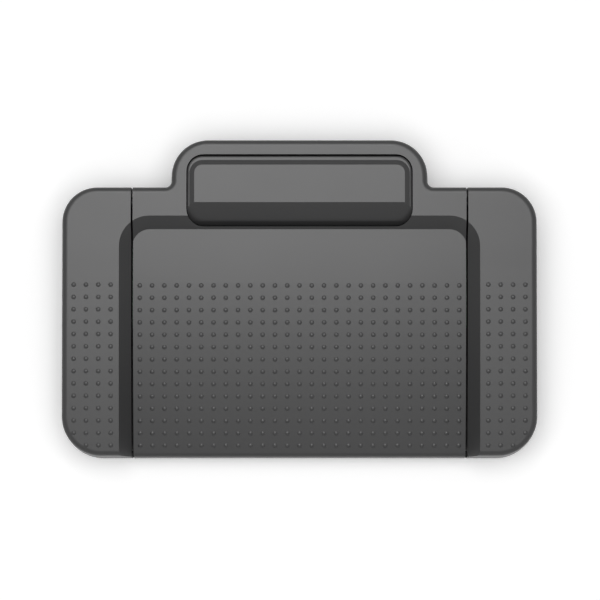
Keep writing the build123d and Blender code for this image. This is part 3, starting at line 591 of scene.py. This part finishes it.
class FOOTSWITCH_OT_metalwork(bpy.types.Operator):
    """Finish the hinge rods, screws and ballast plate"""

    bl_idname = "footswitch.metalwork"
    bl_label = "Rods, screws and ballast"

    def execute(self, context):
        # The hinge rods' very dark colour is partly painted shade: it stands in for the shade in the
        # seams between the pedals, where the rods show through.
        rod_steel_dark_as_seam_shade = steel("rod_steel_darkened_as_seam_shade", (0.035, 0.035, 0.037), 0.34, (0.4, 6, 6))
        plated = steel("plated_screw_steel", (0.62, 0.62, 0.6), 0.34, (1, 1, 1))
        rolled = steel("rolled_plate_steel", (0.33, 0.33, 0.34), 0.46, (14, 1, 1), size=0.5 * mm)
        dress(rod_steel_dark_as_seam_shade, "hinge_rod_left", "hinge_rod_right", "cap_hinge_rod")
        dress(plated, "clamp_screws", "board_screws", "ballast_screws")
        dress(rolled, "ballast_plate")
        return {"FINISHED"}


class FOOTSWITCH_OT_springs(bpy.types.Operator):
    """Wind the springs, with closed end turns"""

    bl_idname = "footswitch.springs"
    bl_label = "Springs"

    def execute(self, context):
        sizes = context.scene.footswitch_springs
        wire = steel("spring_wire_steel", (0.5, 0.5, 0.49), 0.3, (1, 1, 3), size=0.4 * mm)
        for joint in frame["joints"]:
            for node in pedal_springs[joint["name"]]:
                low, high = (np.array(corner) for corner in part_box(node))
                surface = self.coil(low, high, sizes)
                piece = stand_in(f"coil_{node}", [surface], wire, "spring_steel", node)
                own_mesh(piece)
        return {"FINISHED"}

    @staticmethod
    def coil(low, high, sizes):
        """A compression spring: the wire rises slowly in the end turns and evenly between them.

        With u from 0 to 1 along the wire, the angle is 2 pi n u. The height is the sum of a rise per
        turn that grows smoothly from about one wire at the ends to the pitch.
        """
        points_per_turn = 28
        closed = 1.0
        centre = (low + high) / 2
        bottom = low[2] + sizes.wire_radius
        rise = high[2] - sizes.wire_radius - bottom
        turns = 2 * closed + (rise - 2 * closed * 2 * sizes.wire_radius) / sizes.pitch
        u = np.linspace(0, 1, int(turns * points_per_turn))
        turn = u * turns
        end_rate = 2.1 * sizes.wire_radius
        ramp = np.clip(np.minimum(turn, turns - turn) / closed, 0, 1)
        rate = end_rate + (sizes.pitch - end_rate) * ramp * ramp * (3 - 2 * ramp)
        height = np.concatenate(([0], np.cumsum((rate[1:] + rate[:-1]) / 2 * np.diff(turn))))
        height *= rise / height[-1]
        angle = 2 * pi * turn
        x = centre[0] + sizes.coil_radius * np.cos(angle)
        y = centre[1] + sizes.coil_radius * np.sin(angle)
        path = np.stack((x, y, bottom + height), axis=-1)
        tangent = np.gradient(path, axis=0)
        tangent /= np.linalg.norm(tangent, axis=1, keepdims=True)
        return tube_along(path, tangent, sizes.wire_radius, 12)


class FOOTSWITCH_OT_rubber(bpy.types.Operator):
    """Mould the feet, the pads that end the travel and the cable gland"""

    bl_idname = "footswitch.rubber"
    bl_label = "Rubber parts"

    def execute(self, context):
        sizes = context.scene.footswitch_rubber
        foot_rubber = rubber("foot_rubber", sizes.colour)
        pad_rubber = rubber("pad_rubber", shade(sizes.colour, 1.15))
        feet = [f"foot_{place}_{side}" for place in ("front", "rear") for side in side_names]
        for node in (*feet, "foot_hump"):
            surface = self.foot(*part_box(node), sizes)
            stand_in(f"rubber_{node}", [surface], foot_rubber, "foot_rubber", node)
        for name in ("pad", "pad_centre", "pad_cap"):
            for side in side_names:
                node = f"{name}_{side}"
                surface = self.pad(*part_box(node), sizes)
                stand_in(f"rubber_{node}", [surface], pad_rubber, "pad_rubber", node)
        surface = self.gland(*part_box("cable_gland"))
        stand_in("rubber_gland", [surface], pad_rubber, "pad_rubber", "cable_gland")
        return {"FINISHED"}

    @staticmethod
    def foot(low, high, sizes):
        """A foot: its sides fall straight and round into a sole with a shallow groove near its edge."""
        half_x = (high[0] - low[0]) / 2
        half_y = (high[1] - low[1]) / 2
        centre = ((low[0] + high[0]) / 2, (low[1] + high[1]) / 2, 0)
        edge = sizes.foot_edge
        groove_start = 1.6 * mm
        groove_end = 2.5 * mm
        groove_slope = 0.15 * mm
        groove_floor = low[2] + 0.3 * mm
        turn = np.linspace(0, pi / 2, 6)
        layers = [(0.0, high[2])]
        layers += [(edge * (1 - cos(t)), low[2] + edge * (1 - sin(t))) for t in turn]
        layers += [(groove_start, low[2]), (groove_start + groove_slope, groove_floor)]
        layers += [(groove_end - groove_slope, groove_floor), (groove_end, low[2])]
        return stacked(half_x, half_y, sizes.foot_corner, layers, centre)

    @staticmethod
    def pad(low, high, sizes):
        """A round pad, turned from a profile with a rounded upper edge and a shallow dish on top."""
        radius = (high[0] - low[0]) / 2
        centre = ((low[0] + high[0]) / 2, (low[1] + high[1]) / 2, 0)
        edge = sizes.pad_edge
        dish_edge = 0.55 * radius
        dish_floor = 0.45 * radius
        dish_depth = 0.25 * mm
        turn = np.linspace(pi / 2, 0, 6)
        rounding = [(radius - edge + edge * sin(t), high[2] - edge + edge * cos(t)) for t in turn]
        profile = [(0, low[2]), (radius, low[2])] + rounding + [(dish_edge, high[2])]
        profile += [(dish_floor, high[2] - 0.8 * dish_depth), (0, high[2] - dish_depth)]
        return turned(profile, 40, centre)

    @staticmethod
    def gland(low, high):
        """The gland, turned about its bore: a flange inside, a neck in the seat and a ribbed sleeve."""
        bore = 2.15 * mm
        neck = 3.3 * mm
        flange_depth = 4.0 * mm
        sleeve_depth = 2.8 * mm
        radius = (high[0] - low[0]) / 2
        centre = ((low[0] + high[0]) / 2, 0, (low[2] + high[2]) / 2)
        inner_face = low[1] + flange_depth
        outer_face = high[1] - sleeve_depth
        profile = [
            (bore, low[1]), (radius - 0.4 * mm, low[1]), (radius, low[1] + 0.4 * mm),
            (radius, inner_face), (neck, inner_face), (neck, outer_face),
            (radius, outer_face), (radius, outer_face + 0.9 * mm),
            (radius - 0.35 * mm, outer_face + 1.2 * mm), (radius - 0.1 * mm, outer_face + 1.6 * mm),
            (radius - 0.15 * mm, outer_face + 2.0 * mm), (radius - 0.8 * mm, high[1]), (bore, high[1]),
            (bore, low[1]),
        ]
        return turned(profile, 48, centre, axis="y")


class FOOTSWITCH_OT_electronics(bpy.types.Operator):
    """Finish the circuit board and build the chip, crystal and capacitor on it"""

    bl_idname = "footswitch.electronics"
    bl_label = "Electronics"

    def execute(self, context):
        look = context.scene.footswitch_board
        dress(solder_mask(look.board_colour, look.track_colour), "circuit_board")
        epoxy = moulded_plastic("chip_epoxy", (0.014, 0.014, 0.015), 0.42, 0.12 * mm, 0.006 * mm)
        tin = steel("tinned_legs", (0.68, 0.68, 0.66), 0.3, (1, 1, 1))
        can = steel("crystal_can_metal", (0.72, 0.71, 0.68), 0.24, (1, 5, 1))
        sleeve = moulded_plastic("capacitor_sleeve", (0.012, 0.014, 0.02), roughness=0.3)
        nylon = moulded_plastic("header_nylon", (0.62, 0.57, 0.45), roughness=0.4)
        nickel = steel("magnet_nickel", (0.64, 0.62, 0.58), 0.16, (1, 1, 1))
        dress(nylon, "cable_header")
        sites = ("left", "centre", "right", "cap")
        dress(epoxy, *[f"sensor_{site}" for site in sites])
        dress(nickel, *[f"magnet_{site}" for site in sites])
        chip_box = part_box("controller_chip")
        stand_in("chip_body", [self.chip(*chip_box)], epoxy, "chip_plastic", "controller_chip")
        stand_in("chip_legs", self.legs(*chip_box, look.leg_pitch), tin, "can_metal")
        stand_in("crystal_can", [self.can(*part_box("clock_crystal"))], can, "can_metal", "clock_crystal")
        capacitor = self.capacitor(*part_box("capacitor"))
        stand_in("capacitor_can", [capacitor], sleeve, "can_metal", "capacitor")
        return {"FINISHED"}

    @staticmethod
    def chip(low, high):
        """The chip's body: a square block that widens to its parting line halfway up."""
        leg_reach = 0.45 * mm
        half = (high[0] - low[0]) / 2 - leg_reach
        centre = ((low[0] + high[0]) / 2, (low[1] + high[1]) / 2, 0)
        middle = (low[2] + high[2]) / 2
        layers = [(0.12 * mm, low[2] + 0.1 * mm), (0.0, middle)]
        layers += [(0.1 * mm, high[2] - 0.06 * mm), (0.18 * mm, high[2])]
        return stacked(half, half, 0.25 * mm, layers, centre, steps=4)

    @staticmethod
    def legs(low, high, pitch):
        """Gull-wing legs on all four sides: a strip that leaves the body level, dips and lands flat."""
        centre = np.array([(low[0] + high[0]) / 2, (low[1] + high[1]) / 2, 0])
        half = (high[0] - low[0]) / 2
        middle = (low[2] + high[2]) / 2
        thick = 0.12 * mm
        width = pitch * 0.45
        run = np.array([half - 0.5 * mm, half - 0.3 * mm, half - 0.2 * mm, half, half + 0.15 * mm])
        rise = np.array([middle, middle, low[2] + thick, low[2] + thick, low[2] + thick])
        section = np.array([[-width / 2, 0], [width / 2, 0], [width / 2, -thick], [-width / 2, -thick]])
        count = int((2 * half - 2 * mm) / pitch)
        offsets = (np.arange(count) - (count - 1) / 2) * pitch
        up = np.array([0, 0, 1])
        surfaces = []
        for turn in range(4):
            out = np.array([cos(turn * pi / 2), sin(turn * pi / 2), 0])
            along = np.array([-out[1], out[0], 0])
            for offset in offsets:
                path = centre + run[:, None] * out + offset * along + rise[:, None] * up
                rings = path[:, None] + section[None, :, :1] * along + section[None, :, 1:] * up
                first = np.broadcast_to(rings[0].mean(axis=0), (1, 4, 3))
                last = np.broadcast_to(rings[-1].mean(axis=0), (1, 4, 3))
                points = np.concatenate((first, rings, last))
                surfaces.append((points, grid_faces(len(points), 4, wrap_columns=True)))
        return surfaces

    @staticmethod
    def can(low, high):
        """The crystal's can: a stadium with a flange at its foot and a rounded top edge."""
        half_x = (high[0] - low[0]) / 2
        half_y = (high[1] - low[1]) / 2
        centre = ((low[0] + high[0]) / 2, (low[1] + high[1]) / 2, 0)
        edge = 0.4 * mm
        layers = [(0.0, low[2]), (0.0, low[2] + 0.35 * mm), (0.3 * mm, low[2] + 0.45 * mm)]
        turn = np.linspace(0, pi / 2, 6)
        layers += [(0.3 * mm + edge * (1 - cos(t)), high[2] - edge * (1 - sin(t))) for t in turn]
        return stacked(half_x, half_y, half_x * 0.98, layers, centre, steps=12)

    @staticmethod
    def capacitor(low, high):
        """The capacitor: a can with a crimped waist near its foot and a rolled, dished top."""
        radius = (high[0] - low[0]) / 2
        centre = ((low[0] + high[0]) / 2, (low[1] + high[1]) / 2, 0)
        profile = [
            (0, low[2]), (radius * 0.92, low[2]), (radius, low[2] + 0.25 * mm),
            (radius, low[2] + 0.7 * mm), (radius * 0.9, low[2] + 1.0 * mm),
            (radius, low[2] + 1.3 * mm), (radius, high[2] - 0.35 * mm),
            (radius * 0.93, high[2] - 0.08 * mm), (radius * 0.84, high[2]),
            (radius * 0.78, high[2] - 0.15 * mm), (0, high[2] - 0.15 * mm),
        ]
        return turned(profile, 40, centre)


class FOOTSWITCH_OT_stage(bpy.types.Operator):
    """Set up the floor, the lamps, the sky and the camera"""

    bl_idname = "footswitch.stage"
    bl_label = "Floor, lamps and camera"

    def execute(self, context):
        look = context.scene.footswitch_stage
        self.floor(look)
        self.sky(context.scene, look)
        leftwards = -0.05
        size = look.softbox_size
        rear = (leftwards, sin(look.rear_lean), cos(look.rear_lean))
        overhead = (leftwards, sin(look.overhead_lean), cos(look.overhead_lean))
        above = (-0.02, -0.03, 1.0)
        reach = look.lamp_distance
        self.lamp("rear_softbox", look.rear_energy, size, rear, reach, diffuse=False)
        self.lamp("overhead_softbox", look.overhead_energy, size, overhead, reach, diffuse=False)
        self.lamp("canopy", look.canopy_energy, look.canopy_size, above, reach, glossy=False)
        self.camera(context.scene, look)
        context.scene.view_settings.view_transform = "Standard"
        return {"FINISHED"}

    @staticmethod
    def floor(look):
        """A level sheet under the feet, white but for the shadow to the camera and to reflections."""
        finish = Finish("white_floor")
        lift = finish.plain_view() * look.floor_lift
        paint = finish.node("ShaderNodeBsdfDiffuse", {}, {"Color": (*look.floor_colour, 1)})
        glow = finish.node("ShaderNodeEmission", {}, {"Strength": lift})
        both = finish.node("ShaderNodeAddShader", {}, {0: paint, 1: glow})
        finish.node("ShaderNodeOutputMaterial", {}, {"Surface": both})
        half_width = 3
        points_a_side = 7
        reach = np.linspace(-half_width, half_width, points_a_side)
        x, y = np.meshgrid(reach, reach)
        points = np.stack((x, y, np.zeros_like(x)), axis=-1)
        mesh = bpy.data.meshes.new("studio_floor")
        faces = grid_faces(points_a_side, points_a_side)
        mesh.from_pydata(points.reshape(-1, 3).tolist(), [], faces.tolist())
        mesh.materials.append(finish.material)
        sheet = bpy.data.objects.new("studio_floor", mesh)
        bpy.context.scene.collection.objects.link(sheet)

    @staticmethod
    def sky(scene, look):
        """Even light from all round, which the camera, mirrors and glass see as white."""
        world = bpy.data.worlds.new("studio_sky")
        world.use_nodes = True
        air = Nodes(world.node_tree)
        strength = look.sky + air.plain_view() * (1 - look.sky)
        light = air.node("ShaderNodeBackground", {}, {"Strength": strength})
        air.node("ShaderNodeOutputWorld", {}, {"Surface": light})
        scene.world = world

    @staticmethod
    def lamp(name, energy, size, direction, distance, diffuse=True, glossy=True):
        """A square softbox at a distance from the object in a direction, turned to face the object."""
        away = Vector(direction).normalized()
        data = bpy.data.lights.new(name, "AREA")
        data.shape = "SQUARE"
        data.size = size
        data.energy = energy
        box = bpy.data.objects.new(name, data)
        box.location = away * distance
        box.rotation_euler = away.to_track_quat("Z", "Y").to_euler()
        box.visible_diffuse = diffuse
        box.visible_glossy = glossy
        bpy.context.scene.collection.objects.link(box)

    @staticmethod
    def camera(scene, look):
        """The camera, almost overhead, with the top of the picture to the rear."""
        data = bpy.data.cameras.new("overhead_camera")
        data.lens = look.lens
        data.sensor_width = 36
        data.shift_x = look.shift
        camera = bpy.data.objects.new("overhead_camera", data)
        reach = look.distance
        camera.location = (0, -reach * sin(look.tilt), look.target_height + reach * cos(look.tilt))
        camera.rotation_euler = (look.tilt, 0, 0)
        scene.collection.objects.link(camera)
        scene.camera = camera


class FOOTSWITCH_PT_panel(bpy.types.Panel):
    """The pieces of the foot switch, in the order in which they are made"""

    bl_idname = "FOOTSWITCH_PT_panel"
    bl_label = "Foot switch"
    bl_space_type = "VIEW_3D"
    bl_region_type = "UI"
    bl_category = "Foot switch"

    def draw(self, context):
        for operator in operators:
            self.layout.operator(operator.bl_idname)
        for name in groups:
            group = getattr(context.scene, name)
            box = self.layout.box()
            for field in group.bl_rna.properties:
                if field.identifier not in ("rna_type", "name"):
                    box.prop(group, field.identifier)


groups = {
    "footswitch_shell": ShellLook,
    "footswitch_tray": TrayLook,
    "footswitch_springs": SpringSizes,
    "footswitch_rubber": RubberSizes,
    "footswitch_board": BoardLook,
    "footswitch_stage": StageLook,
}
operators = (
    FOOTSWITCH_OT_shells,
    FOOTSWITCH_OT_tray,
    FOOTSWITCH_OT_metalwork,
    FOOTSWITCH_OT_springs,
    FOOTSWITCH_OT_rubber,
    FOOTSWITCH_OT_electronics,
    FOOTSWITCH_OT_stage,
)


def register():
    for made in (*groups.values(), *operators, FOOTSWITCH_PT_panel):
        bpy.utils.register_class(made)
    for name, group in groups.items():
        setattr(bpy.types.Scene, name, bpy.props.PointerProperty(type=group))


def unregister():
    for name in groups:
        delattr(bpy.types.Scene, name)
    for made in (FOOTSWITCH_PT_panel, *operators[::-1], *groups.values()):
        bpy.utils.unregister_class(made)


def main():
    """Makes every piece."""
    register()
    for operator in operators:
        group, name = operator.bl_idname.split(".")
        getattr(getattr(bpy.ops, group), name)()


if __name__ == "__main__":
    main()
